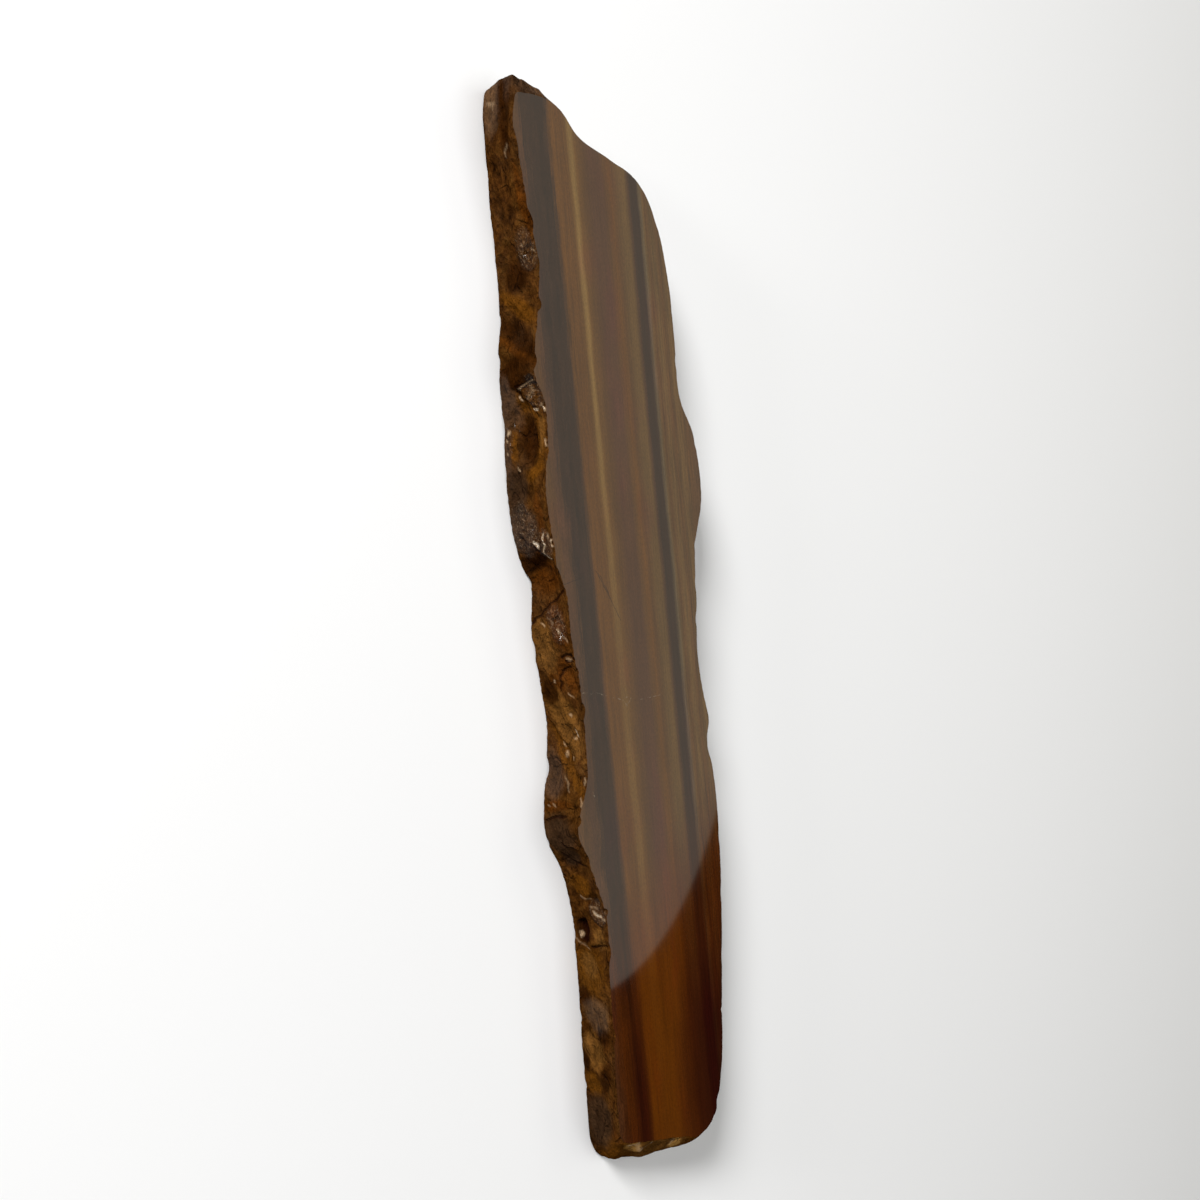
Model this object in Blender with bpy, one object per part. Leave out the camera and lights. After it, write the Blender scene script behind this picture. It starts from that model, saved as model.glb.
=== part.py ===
"""Rough tiger's eye slab: one long slice of banded stone, lying on its sawn back face.

The upper face is flat and polished, the lower face is flat and sawn, and the edge all
round is left as it broke: shallow bowl-shaped chip scars that meet in ridges, with a
sloping break at each end and one small pocket near the narrow end.

+Y runs along the slab towards its pointed end, +X across it and +Z up. The origin is
under the middle of the slab, on the plane that it rests on.
Run with: blender --background --python part.py
"""

import math
import random

import bmesh
import bpy
import numpy as np

MM = 0.001  # sizes below are in millimetres, and Blender's unit is the metre

# Driving dimensions
THICKNESS = 16.0
NORMAL_REACH = 4.0  # the edge's outward direction is averaged this far each way
BELLY_POWER = 4  # a higher power bulges sooner below each face
BREAK_HEIGHT = 2.0  # the breaks are this far below the polished face
FRONT_FADE = 1.5  # chip scars fade out over this height below the polished face
BACK_FADE = 2.5  # and grow to their whole depth over this height above the back face
BACK_SHARE = 0.3  # share of a scar's depth that is left on the back face's outline
LEAN = 0.35  # a scar's deepest place is this share of its half length short of its middle
WANDER = (0.8, 0.5)  # how far the scars' outlines wander, along the edge and up it

# Mesh density of the broken edge
COLUMNS = 380
LEVELS = (0.0, 0.08, 0.19, 0.32, 0.45, 0.58, 0.69, 0.79, 0.875, 0.94, 1.0)

# The slab's outline, anticlockwise from its pointed corner: where the polished face ends,
# the matching place on the back face, and how far the edge bulges between the two.
# A sixth number is a break: how far the end steps out just below the polished face.
LEFT_EDGE = [
    (-29.3, 143.0, -25.3, 147.2, 0.4),
    (-30.2, 136.0, -25.8, 137.5, 0.8),
    (-29.1, 129.0, -26.0, 129.5, 0.8),
    (-28.3, 122.0, -26.2, 122.0, 0.6),
    (-27.3, 113.0, -26.1, 113.0, 0.6),
    (-25.6, 105.0, -26.0, 105.0, 0.5),
    (-26.6, 95.5, -26.1, 95.5, 0.5),
    (-29.5, 83.0, -28.0, 83.0, 0.3),
    (-30.8, 75.5, -28.5, 75.5, 0.2),
    (-28.3, 69.5, -28.7, 69.5, 0.3),
    (-28.0, 59.0, -28.9, 59.0, 0.4),
    (-30.3, 47.0, -29.7, 47.0, 0.3),
    (-29.6, 33.0, -28.6, 33.0, 0.3),
    (-29.2, 27.0, -27.0, 26.5, 0.0),
    (-26.6, 19.0, -24.5, 18.0, -0.2),
    (-26.1, 6.0, -25.7, 7.0, 0.4),
    (-24.4, -8.0, -24.0, -8.0, 0.3),
    (-24.3, -24.0, -23.4, -22.0, 0.3),
    (-24.8, -32.0, -25.4, -33.0, 0.3),
    (-28.3, -40.0, -26.8, -40.5, 0.4),
    (-30.1, -44.5, -27.4, -45.5, 0.3),
    (-28.6, -50.0, -26.8, -51.0, 0.3),
    (-26.7, -56.0, -23.9, -57.0, 0.0),
    (-22.4, -71.0, -20.5, -71.0, 0.0),
    (-23.0, -86.0, -20.1, -86.0, 0.2),
    (-23.6, -102.0, -20.5, -102.0, 0.3),
    (-24.4, -119.0, -21.0, -119.0, 0.4),
    (-24.6, -130.0, -21.0, -131.0, 0.5),
]
LOWER_END = [
    (-24.4, -134.1, -20.9, -140.5, 0.7),
    (-21.8, -135.9, -18.4, -146.0, 2.0),
    (-17.2, -137.6, -14.4, -147.6, 2.6),
    (-12.0, -139.4, -9.8, -148.0, 2.6),
    (-6.8, -141.1, -5.2, -148.4, 2.4),
    (1.6, -144.3, 2.4, -149.2, 2.0),
    (8.0, -147.0, 8.2, -149.6, 1.2),
    (13.4, -145.4, 13.6, -147.2, 0.9),
    (16.6, -142.4, 17.0, -143.2, 0.8),
]
RIGHT_EDGE = [
    (18.7, -136.0, 19.2, -136.2, 0.6),
    (20.5, -129.0, 19.8, -129.2, 0.5),
    (22.7, -111.0, 21.2, -111.0, 0.7),
    (25.4, -88.0, 25.0, -88.0, 0.9),
    (27.2, -66.0, 28.4, -66.0, 0.6),
    (26.7, -39.5, 27.3, -39.5, 0.8),
    (25.4, -32.0, 24.9, -32.0, 1.0),
    (26.9, -26.0, 25.5, -26.0, 0.7),
    (25.6, -19.0, 25.2, -19.0, 0.6),
    (24.2, -6.0, 25.0, -6.0, 0.8),
    (25.5, 8.0, 26.9, 8.0, 1.0),
    (27.1, 26.0, 26.4, 26.5, 0.8),
    (31.3, 38.5, 29.2, 39.5, 0.6),
    (31.3, 49.0, 29.6, 50.0, 0.8),
    (29.9, 57.5, 29.5, 57.8, 0.9),
    (25.6, 67.0, 27.2, 67.5, 0.4),
    (25.0, 84.0, 25.8, 84.0, 0.9),
    (24.3, 101.0, 23.5, 101.0, 1.0),
    (20.0, 119.7, 20.4, 119.8, 0.8),
]
POINTED_END = [
    (17.0, 125.0, 17.6, 125.6, 0.7),
    (14.0, 128.0, 14.6, 128.8, 0.6),
    (4.0, 132.5, 4.2, 133.0, 0.9),
    (-7.5, 137.5, -6.8, 139.2, 0.8),
    (-13.0, 143.3, -11.4, 144.8, 0.6, 0.5),
    (-16.6, 145.1, -14.6, 147.0, 0.6, 1.9),
    (-20.5, 145.7, -18.0, 148.6, 0.6, 2.9),
    (-24.5, 145.8, -21.4, 149.9, 0.8, 3.5),
    (-28.1, 145.3, -24.2, 150.0, 0.8, 4.3),
]

# Chip scars on the left edge: (y, height, half length, half height, tilt, depth).
# tilt is in degrees, from along the edge towards the blunt end, up to the polished face.
LEFT_SCARS = [
    (144.0, 4.0, 8.5, 4.8, 0, 1.3),  # pale facet under the pointed corner
    (138.5, 11.5, 11.5, 3.0, 4, 1.9),  # long groove below the polished face
    (122.0, 5.5, 12.0, 7.0, 10, 1.0),
    (112.0, 12.5, 7.5, 3.6, -20, 1.3),
    (105.0, 14.0, 4.0, 2.6, 15, 1.1),
    (101.0, 4.0, 7.5, 5.0, -15, 1.0),
    (86.5, 8.5, 10.5, 6.8, 60, 2.6),  # trough that crosses the dark and gold layers
    (78.0, 2.5, 5.5, 4.4, 30, 1.2),
    (71.5, 13.0, 3.4, 4.2, -70, 1.7),  # stepped chips at a ledge
    (71.0, 6.0, 3.0, 3.4, -40, 1.4),
    (58.8, 8.5, 11.0, 6.6, 8, 2.8),  # deep oval hollow
    (51.0, 14.0, 5.0, 2.4, 10, 1.1),
    (43.0, 3.5, 8.5, 5.2, -12, 1.2),
    (36.5, 10.5, 5.0, 4.0, 25, 1.2),
    (21.0, 7.5, 9.0, 9.5, 20, 2.7),  # hollow below a sharp ledge
    (9.0, 4.5, 6.5, 7.0, -50, 1.6),  # smooth facet below a slanting crack
    (8.0, 12.0, 5.0, 2.8, 35, 1.4),
    (1.5, 4.0, 7.0, 5.5, 10, 1.1),
    (0.8, 14.4, 2.4, 2.2, 0, 1.3),
    (-5.5, 12.3, 6.0, 3.8, 20, 1.3),
    (-11.5, 5.0, 7.5, 5.0, -20, 1.1),
    (-16.0, 12.5, 5.0, 3.2, 30, 1.2),
    (-22.5, 11.5, 6.5, 3.2, 42, 1.4),
    (-28.0, 8.5, 12.0, 2.6, 41, 2.0),  # slanting trough
    (-33.5, 3.5, 7.0, 4.6, 20, 1.3),
    (-42.0, 12.5, 5.0, 3.2, 35, 1.3),
    (-48.5, 5.0, 6.5, 6.0, -10, 0.9),
    (-58.5, 9.0, 9.5, 8.5, -8, 1.8),  # wide concave bay
    (-69.5, 12.0, 5.0, 3.4, 40, 1.6),
    (-77.6, 4.9, 3.3, 3.0, 20, 3.8),  # small deep pocket
    (-82.5, 11.5, 4.8, 3.4, -25, 1.3),
    (-89.5, 6.0, 9.5, 6.6, -5, 1.2),
    (-99.0, 12.0, 6.5, 4.0, -20, 1.0),
    (-108.0, 5.0, 8.5, 5.8, 15, 1.3),
    (-117.0, 11.5, 7.0, 4.4, 10, 1.1),
    (-127.0, 6.0, 8.0, 6.4, -15, 1.5),
    (-135.0, 11.0, 4.4, 3.4, 0, 1.2),
]

# Scars on the edges that were broken the same way but show no single feature
SEED = 11
SCAR_SPACING = 4.6  # along the edge, for each of the two bands of scars
SCAR_HALF_LENGTH = (3.4, 8.5)
SCAR_HALF_HEIGHT = (2.6, 6.5)
SCAR_DEPTH = (0.5, 2.1)
LEFT_SHARE = 0.35  # depth of these scars on the left edge, against elsewhere

STONE_COLOUR = (0.16, 0.062, 0.014, 1.0)
STONE_ROUGHNESS = 0.3


def clear_scene():
    for obj in list(bpy.data.objects):
        bpy.data.objects.remove(obj)


def closed_curve(stations, per_span=24):
    """A smooth closed curve through the stations, which it interpolates column by column."""
    p = np.array(stations, float)
    chord = np.linalg.norm((np.roll(p, -1, 0) - p)[:, :2], axis=1)[:, None]
    slope = (np.roll(p, -1, 0) - p) / chord
    before, chord_before = np.roll(slope, 1, 0), np.roll(chord, 1, 0)
    tangent = (slope * chord_before + before * chord) / (chord + chord_before)
    t = np.linspace(0, 1, per_span, endpoint=False)[None, :, None]
    start, end = p[:, None], np.roll(p, -1, 0)[:, None]
    leave = (tangent * chord)[:, None]
    arrive = (np.roll(tangent, -1, 0) * chord)[:, None]
    curve = (
        (2 * t**3 - 3 * t**2 + 1) * start
        + (t**3 - 2 * t**2 + t) * leave
        + (3 * t**2 - 2 * t**3) * end
        + (t**3 - t**2) * arrive
    )
    return curve.reshape(-1, p.shape[1])


def evenly_spaced(curve, count):
    """The closed curve at `count` points an equal distance apart, and its whole length."""
    loop = np.vstack([curve, curve[:1]])
    along = np.concatenate([[0], np.cumsum(np.linalg.norm(np.diff(loop[:, :2], axis=0), axis=1))])
    places = np.linspace(0, along[-1], count, endpoint=False)
    return np.stack([np.interp(places, along, column) for column in loop.T], 1), along[-1]


def outward(outline, perimeter):
    """Unit vectors pointing out of the outline, steadied so that offsets never cross."""
    reach = max(1, round(NORMAL_REACH * len(outline) / perimeter))
    run = np.roll(outline, -reach, 0) - np.roll(outline, reach, 0)
    normal = np.stack([run[:, 1], -run[:, 0]], 1)
    return normal / np.linalg.norm(normal, axis=1)[:, None]


def place_on_left_edge(outline, perimeter, y):
    """How far along the outline the left edge reaches this y."""
    down = int(np.argmin(outline[: len(outline) // 2, 1]))
    places = np.arange(down) * perimeter / len(outline)
    return float(np.interp(-y, -outline[:down, 1], places))


def chip_scars(outline, perimeter):
    """Every scar as (distance along the edge, height, half length, half height, tilt, depth)."""
    scars = [
        (place_on_left_edge(outline, perimeter, y), *rest) for y, *rest in LEFT_SCARS
    ]
    left_end = place_on_left_edge(outline, perimeter, LEFT_EDGE[-1][1])
    rng = random.Random(SEED)
    for band_height in (0.28, 0.74):
        place = 0.0
        while place < perimeter:
            depth = rng.uniform(*SCAR_DEPTH) * (LEFT_SHARE if place < left_end else 1.0)
            height = THICKNESS * (band_height + rng.uniform(-0.16, 0.16))
            half_length = rng.uniform(*SCAR_HALF_LENGTH)
            half_height = rng.uniform(*SCAR_HALF_HEIGHT)
            scars.append((place, height, half_length, half_height, rng.uniform(-50, 50), depth))
            place += SCAR_SPACING * rng.uniform(0.6, 1.4)
    return scars


def chipped_depth(place, height, perimeter, scars):
    """How far the stone is chipped away: the deepest of the bowls that cover the point."""
    turn = place * 2 * math.pi / perimeter
    along_wander, up_wander = WANDER
    here = place + along_wander * np.sin(41 * turn + 0.4 * height)
    level = height + up_wander * np.sin(53 * turn - 0.3 * height)
    depth = np.zeros(np.broadcast(place, height).shape)
    for centre, middle, half_length, half_height, tilt, most in scars:
        along = (here - centre + perimeter / 2) % perimeter - perimeter / 2
        up = level - middle
        c, s = math.cos(math.radians(tilt)), math.sin(math.radians(tilt))
        a = (along * c + up * s) / half_length
        b = (up * c - along * s) / half_height
        a = a + LEAN * (1 - np.minimum(a * a, 1))
        depth = np.maximum(depth, most * (1 - a * a - b * b))
    return depth


def fade(height):
    """Share of a scar's depth that is used at this height."""
    top = min(1.0, (THICKNESS - height) / FRONT_FADE)
    bottom = min(1.0, BACK_SHARE + (1 - BACK_SHARE) * height / BACK_FADE)
    return top * top * (3 - 2 * top) * bottom


def broken_edge():
    """Rings of points round the slab, one for each level from the back face up."""
    stations = [s + (0.0,) * (6 - len(s)) for s in LEFT_EDGE + LOWER_END + RIGHT_EDGE + POINTED_END]
    columns, perimeter = evenly_spaced(closed_curve(stations), COLUMNS)
    front, back, belly, step = columns[:, :2], columns[:, 2:4], columns[:, 4], columns[:, 5]
    normal = outward(front, perimeter)
    scars = chip_scars(front, perimeter)
    place = np.arange(COLUMNS) * perimeter / COLUMNS
    shoulder = THICKNESS - BREAK_HEIGHT
    rings = []
    for level in LEVELS:
        height = level * THICKNESS
        bulge = belly * (1 - abs(2 * level - 1) ** BELLY_POWER)
        out = bulge - chipped_depth(place, height, perimeter, scars) * fade(height)
        flat = back * (1 - level) + front * level + normal * out[:, None]
        flat[:, 1] += step * min(height, (THICKNESS - height) * shoulder / BREAK_HEIGHT) / shoulder
        rings.append(np.column_stack([flat, np.full(COLUMNS, height)]))
    rings = np.array(rings)
    rings[:, :, :2] -= (rings.min((0, 1)) + rings.max((0, 1)))[:2] / 2
    return rings * MM


def slab_mesh(rings):
    bm = bmesh.new()
    loops = [[bm.verts.new(point) for point in ring] for ring in rings]
    for lower, upper in zip(loops, loops[1:]):
        for i in range(COLUMNS):
            j = (i + 1) % COLUMNS
            bm.faces.new((lower[i], lower[j], upper[j], upper[i]))
    bm.faces.new(loops[-1])
    bm.faces.new(list(reversed(loops[0])))
    bmesh.ops.recalc_face_normals(bm, faces=bm.faces)
    mesh = bpy.data.meshes.new("slab")
    bm.to_mesh(mesh)
    bm.free()
    return mesh


def stone_material():
    material = bpy.data.materials.new("tigers_eye")
    material.use_nodes = True
    shader = material.node_tree.nodes["Principled BSDF"]
    shader.inputs["Base Color"].default_value = STONE_COLOUR
    shader.inputs["Roughness"].default_value = STONE_ROUGHNESS
    shader.inputs["Metallic"].default_value = 0.0
    return material


def make_slab():
    slab = bpy.data.objects.new("slab", slab_mesh(broken_edge()))
    slab.data.materials.append(stone_material())
    bpy.context.scene.collection.objects.link(slab)
    return slab


clear_scene()
make_slab()
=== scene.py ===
"""Rough tiger's eye slab, dressed: one long slice of banded stone, lying on its sawn back.

The broken edge is rebuilt finely over the plain solid, with its chip scars, the nicks along
the polished face's rim and the crumbly grain of the break. Three finishes share the same
layers: the polished face, the broken edge and the sawn back.

Sizes are in millimetres up to the point where the mesh is made. +Y runs along the slab
towards its pointed end, +X across it and +Z out of the polished face.
"""
import math
import random

import bpy
import numpy as np
from mathutils import Matrix, Vector

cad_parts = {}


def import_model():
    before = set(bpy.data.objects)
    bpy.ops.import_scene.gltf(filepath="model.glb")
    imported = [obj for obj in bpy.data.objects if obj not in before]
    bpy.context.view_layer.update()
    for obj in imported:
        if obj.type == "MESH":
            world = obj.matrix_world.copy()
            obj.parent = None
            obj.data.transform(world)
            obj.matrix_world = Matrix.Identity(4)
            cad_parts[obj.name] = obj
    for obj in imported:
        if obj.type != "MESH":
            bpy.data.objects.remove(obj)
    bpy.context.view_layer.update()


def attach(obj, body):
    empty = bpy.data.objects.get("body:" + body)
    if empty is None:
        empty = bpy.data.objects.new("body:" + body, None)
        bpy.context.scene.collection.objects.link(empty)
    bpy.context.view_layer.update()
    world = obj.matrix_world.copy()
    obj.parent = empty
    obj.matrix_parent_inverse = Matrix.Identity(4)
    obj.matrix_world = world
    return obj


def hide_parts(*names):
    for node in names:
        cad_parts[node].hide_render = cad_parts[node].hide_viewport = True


MM = 0.001

# Driving sizes, shared with the plain solid
THICKNESS = 16.0
NORMAL_REACH = 4.0
BELLY_POWER = 4
BREAK_HEIGHT = 2.0
FRONT_FADE = 1.5
BACK_FADE = 2.5
BACK_SHARE = 0.3
LEAN = 0.35
WANDER = (0.8, 0.5)
MIDDLE = (0.38, 0.54)  # where the middle of the slab lies on the outline's own grid

# The slab's outline, anticlockwise from its pointed corner: where the polished face ends,
# the matching place on the back face, and how far the edge bulges between the two.
# A sixth number is a break: how far the end steps out just below the polished face.
LEFT_EDGE = [
    (-29.3, 143, -25.3, 147.2, 0.4),
    (-30.2, 136, -25.8, 137.5, 0.8),
    (-29.1, 129, -26, 129.5, 0.8),
    (-28.3, 122, -26.2, 122, 0.6),
    (-27.3, 113, -26.1, 113, 0.6),
    (-25.6, 105, -26, 105, 0.5),
    (-26.6, 95.5, -26.1, 95.5, 0.5),
    (-29.5, 83, -28, 83, 0.3),
    (-30.8, 75.5, -28.5, 75.5, 0.2),
    (-28.3, 69.5, -28.7, 69.5, 0.3),
    (-28, 59, -28.9, 59, 0.4),
    (-30.3, 47, -29.7, 47, 0.3),
    (-29.6, 33, -28.6, 33, 0.3),
    (-29.2, 27, -27, 26.5, 0),
    (-26.6, 19, -24.5, 18, -0.2),
    (-26.1, 6, -25.7, 7, 0.4),
    (-24.4, -8, -24, -8, 0.3),
    (-24.3, -24, -23.4, -22, 0.3),
    (-24.8, -32, -25.4, -33, 0.3),
    (-28.3, -40, -26.8, -40.5, 0.4),
    (-30.1, -44.5, -27.4, -45.5, 0.3),
    (-28.6, -50, -26.8, -51, 0.3),
    (-26.7, -56, -23.9, -57, 0),
    (-22.4, -71, -20.5, -71, 0),
    (-23, -86, -20.1, -86, 0.2),
    (-23.6, -102, -20.5, -102, 0.3),
    (-24.4, -119, -21, -119, 0.4),
    (-24.6, -130, -21, -131, 0.5),
]
# The lower end bulges up to 1.9 mm more here than the plain solid does.
LOWER_END = [
    (-24.4, -134.1, -20.9, -140.5, 0.7),
    (-21.8, -135.9, -18.4, -146, 2),
    (-17.2, -137.6, -14.4, -147.6, 2.6),
    (-12, -139.4, -9.8, -148, 3.6),
    (-6.8, -141.1, -5.2, -148.4, 4.3),
    (1.6, -144.3, 2.4, -149.2, 3.6),
    (8, -147, 8.2, -149.6, 1.8),
    (13.4, -145.4, 13.6, -147.2, 0.9),
    (16.6, -142.4, 17, -143.2, 0.8),
]
RIGHT_EDGE = [
    (18.7, -136, 19.2, -136.2, 0.6),
    (20.5, -129, 19.8, -129.2, 0.5),
    (22.7, -111, 21.2, -111, 0.7),
    (25.4, -88, 25, -88, 0.9),
    (27.2, -66, 28.4, -66, 0.6),
    (26.7, -39.5, 27.3, -39.5, 0.8),
    (25.4, -32, 24.9, -32, 1),
    (26.9, -26, 25.5, -26, 0.7),
    (25.6, -19, 25.2, -19, 0.6),
    (24.2, -6, 25, -6, 0.8),
    (25.5, 8, 26.9, 8, 1),
    (27.1, 26, 26.4, 26.5, 0.8),
    (31.3, 38.5, 29.2, 39.5, 0.6),
    (31.3, 49, 29.6, 50, 0.8),
    (29.9, 57.5, 29.5, 57.8, 0.9),
    (25.6, 67, 27.2, 67.5, 0.4),
    (25, 84, 25.8, 84, 0.9),
    (24.3, 101, 23.5, 101, 1),
    (20, 119.7, 20.4, 119.8, 0.8),
]
POINTED_END = [
    (17, 125, 17.6, 125.6, 0.7),
    (14, 128, 14.6, 128.8, 0.6),
    (4, 132.5, 4.2, 133, 0.9),
    (-7.5, 137.5, -6.8, 139.2, 0.8),
    (-13, 143.3, -11.4, 144.8, 0.6, 0.5),
    (-16.6, 145.1, -14.6, 147, 0.6, 1.9),
    (-20.5, 145.7, -18, 148.6, 0.6, 2.9),
    (-24.5, 145.8, -21.4, 149.9, 0.8, 3.5),
    (-28.1, 145.3, -24.2, 150, 0.8, 4.3),
]

# Chip scars on the left edge: (y, height, half length, half height, tilt, depth).
# tilt is in degrees, from along the edge towards the blunt end, up to the polished face.
LEFT_SCARS = [
    (144, 4, 8.5, 4.8, 0, 1.3),  # pale facet under the pointed corner
    (138.5, 11.5, 11.5, 3, 4, 1.9),  # long groove below the polished face
    (122, 5.5, 12, 7, 10, 1),
    (112, 12.5, 7.5, 3.6, -20, 1.3),
    (105, 14, 4, 2.6, 15, 1.1),
    (101, 4, 7.5, 5, -15, 1),
    (86.5, 8.5, 10.5, 6.8, 60, 2.6),  # trough that crosses the dark and gold layers
    (78, 2.5, 5.5, 4.4, 30, 1.2),
    (71.5, 13, 3.4, 4.2, -70, 1.7),  # stepped chips at a ledge
    (71, 6, 3, 3.4, -40, 1.4),
    (58.8, 8.5, 11, 6.6, 8, 2.8),  # deep oval hollow
    (51, 14, 5, 2.4, 10, 1.1),
    (43, 3.5, 8.5, 5.2, -12, 1.2),
    (36.5, 10.5, 5, 4, 25, 1.2),
    (21, 7.5, 9, 9.5, 20, 2.7),  # hollow below a sharp ledge
    (9, 4.5, 6.5, 7, -50, 1.6),  # smooth facet below a slanting crack
    (8, 12, 5, 2.8, 35, 1.4),
    (1.5, 4, 7, 5.5, 10, 1.1),
    (0.8, 14.4, 2.4, 2.2, 0, 1.3),
    (-5.5, 12.3, 6, 3.8, 20, 1.3),
    (-11.5, 5, 7.5, 5, -20, 1.1),
    (-16, 12.5, 5, 3.2, 30, 1.2),
    (-22.5, 11.5, 6.5, 3.2, 42, 1.4),
    (-28, 8.5, 12, 2.6, 41, 2),  # slanting trough
    (-33.5, 3.5, 7, 4.6, 20, 1.3),
    (-42, 12.5, 5, 3.2, 35, 1.3),
    (-48.5, 5, 6.5, 6, -10, 0.9),
    (-58.5, 9, 9.5, 8.5, -8, 1.8),  # wide concave bay
    (-69.5, 12, 5, 3.4, 40, 1.6),
    (-77.6, 4.9, 3.3, 3, 20, 3.8),  # small deep pocket
    (-82.5, 11.5, 4.8, 3.4, -25, 1.3),
    (-89.5, 6, 9.5, 6.6, -5, 1.2),
    (-99, 12, 6.5, 4, -20, 1),
    (-108, 5, 8.5, 5.8, 15, 1.3),
    (-117, 11.5, 7, 4.4, 10, 1.1),
    (-127, 6, 8, 6.4, -15, 1.5),
    (-135, 11, 4.4, 3.4, 0, 1.2),
]
SCAR_SEED = 11
SCAR_SPACING = 4.6
SCAR_HALF_LENGTH = (3.4, 8.5)
SCAR_HALF_HEIGHT = (2.6, 6.5)
SCAR_DEPTH = (0.5, 2.1)
LEFT_SHARE = 0.35

# Fine shape of the break
FINE_STEP = 0.36  # column spacing on the left edge and round its two ends
COARSE_STEP = 0.62
FINE_PAST_ENDS = 20.0
LEVELS = 44  # rows of the edge between the nicks of its two rims
NICK_ROWS = 4
NICK_SEED = 5
WORN_RIM = 0.45  # how deep the rim's nicks are on the right edge and the pointed end
WORN_TIP = 0.35  # how much of the grain is left on the pointed end
TIP_SHARE = 0.4  # how deep the scars are on the pointed corner
RIPPLE = (0.045, 1.3)  # height and spacing of the rings in each scar

# Patches of colour on the left edge: (kind, y, height, half length, half height, tilt).
PATCHES = [
    ("pale", 144, 4.2, 6, 3, 0),
    ("grey", 145, 4.6, 6.5, 4, 0),
    # These two are painted shadow in the long groove below the polished face.
    ("dark", 145.5, 11, 4, 3, 0),
    ("dark", 140.5, 11, 9.5, 2, 4),
    ("rust", 119.5, 14.4, 9, 1.7, 4),
    ("crumbly", 107.5, 12.5, 5, 3, 10),
    ("dark", 101, 7, 4, 4, 30),
    ("gold", 93.2, 8.6, 9, 2.3, 58),
    # Partly a dark layer, partly painted shade in the trough.
    ("dark", 85.6, 8.8, 10, 3, 60),
    ("rust", 82.2, 8.4, 9.5, 1.5, 61),
    ("dark", 76.6, 7, 4.5, 8, 10),
    ("crumbly", 71.5, 13.5, 4, 3, 0),
    ("grey", 69.5, 2.6, 7, 3, 10),
    # The oval hollow's dark bottom is partly painted shade; the pale patch on its upper side is partly
    # painted light.
    ("dark", 58.5, 8.8, 5.8, 3.2, 8),
    ("pale", 61, 13.6, 5, 1.7, 0),
    ("gold", 61, 12.8, 8, 2.4, 8),
    ("grey", 60, 1.2, 12, 1.6, 2),
    ("slate", 46, 4, 8, 4.4, -16),
    ("crumbly", 36, 4.5, 6, 5, 0),
    ("grey", 36, 4.5, 6.5, 5.4, 0),
    ("rust", 38.5, 12.2, 7, 1.7, 0),
    ("crumbly", 31.8, 12.6, 3.4, 2.6, 0),
    # Painted shade under the sharp ledge.
    ("dark", 28, 6.5, 2.6, 8, 24),
    ("rust", 22.5, 7.5, 4, 7.5, 20),
    ("rust", 10, 10.2, 6.5, 4, 30),
    ("crumbly", 10, 10.2, 5, 3.4, 30),
    ("pale", 3, 4.2, 7, 4.6, 10),
    ("rust", -3.5, 7, 5, 3.2, 20),
    ("rust", -4, 12.6, 5, 2.6, 18),
    ("dark", -9.5, 3.4, 4, 3, 0),
    ("pale", -17, 8, 11, 5, 32),
    ("gold", -29.5, 9.4, 12, 1.5, 41),
    ("grey", -32.5, 3.2, 6, 4, 12),
    ("rust", -39.6, 5, 1.6, 6, 10),
    ("slate", -47.5, 6.5, 6, 7, 0),
    ("slate", -54.5, 7, 3, 4.4, 30),
    ("gold", -63.5, 6.5, 3.4, 5, -10),
    ("crumbly", -70.5, 12.2, 3.4, 3, 40),
    # Painted shade in the small deep pocket.
    ("dark", -77.5, 4.9, 3.4, 3.2, 20),
    ("pale", -78, 12, 3, 2.6, 0),
    ("gold", -88.5, 7, 7, 7, 0),
    ("pale", -87, 6, 3.6, 3.6, 0),
    ("dark", -96.8, 3, 2.6, 2.6, 0),
    ("pale", -101, 8, 4.6, 5.6, 10),
    ("grey", -101, 8, 4.6, 5.6, 10),
    ("dark", -106, 11, 2.6, 2.8, 0),
    ("pale", -111.5, 6, 5, 5, 20),
    ("dark", -116, 1.8, 3, 1.8, 0),
    ("dark", -118.5, 11, 4, 2.2, -10),
    ("gold", -122.5, 4, 4.4, 3.4, 0),
    ("slate", -130.6, 6.2, 5, 6.4, 0),
    ("pale", -141, 9, 6, 7, 0),
]
# The same on the two ends: (kind, x, y, height, half length, half height, tilt).
END_PATCHES = [
    ("grey", -20, 146, 13, 9, 4.5, 0),
    ("pale", -15, 145, 14, 8, 2.6, 0),
    ("grey", -9, 139, 13, 8, 5, 0),
    ("gold", 4, 132, 8, 8, 7, 20),
    ("rust", -24, -135, 13, 5, 3, 0),
    ("gold", -19, -137, 10, 7, 8, 0),
    ("pale", -13, -139, 14, 7, 4, 0),
    ("gold", -5, -142, 9, 9, 8, 0),
    ("pale", -2, -143, 14.5, 5, 3, 0),
    ("gold", 8, -147, 12, 6, 6, 0),
    ("pale", -8.5, -141, 12, 7, 5, 0),
    # These two are painted golden glints on the lower end's rim.
    ("painted_gold_glint", -18.5, -138, 14.4, 3.4, 1.7, -14),
    ("painted_gold_glint", -1.5, -143, 14.8, 2.4, 1, 0),
]
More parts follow.
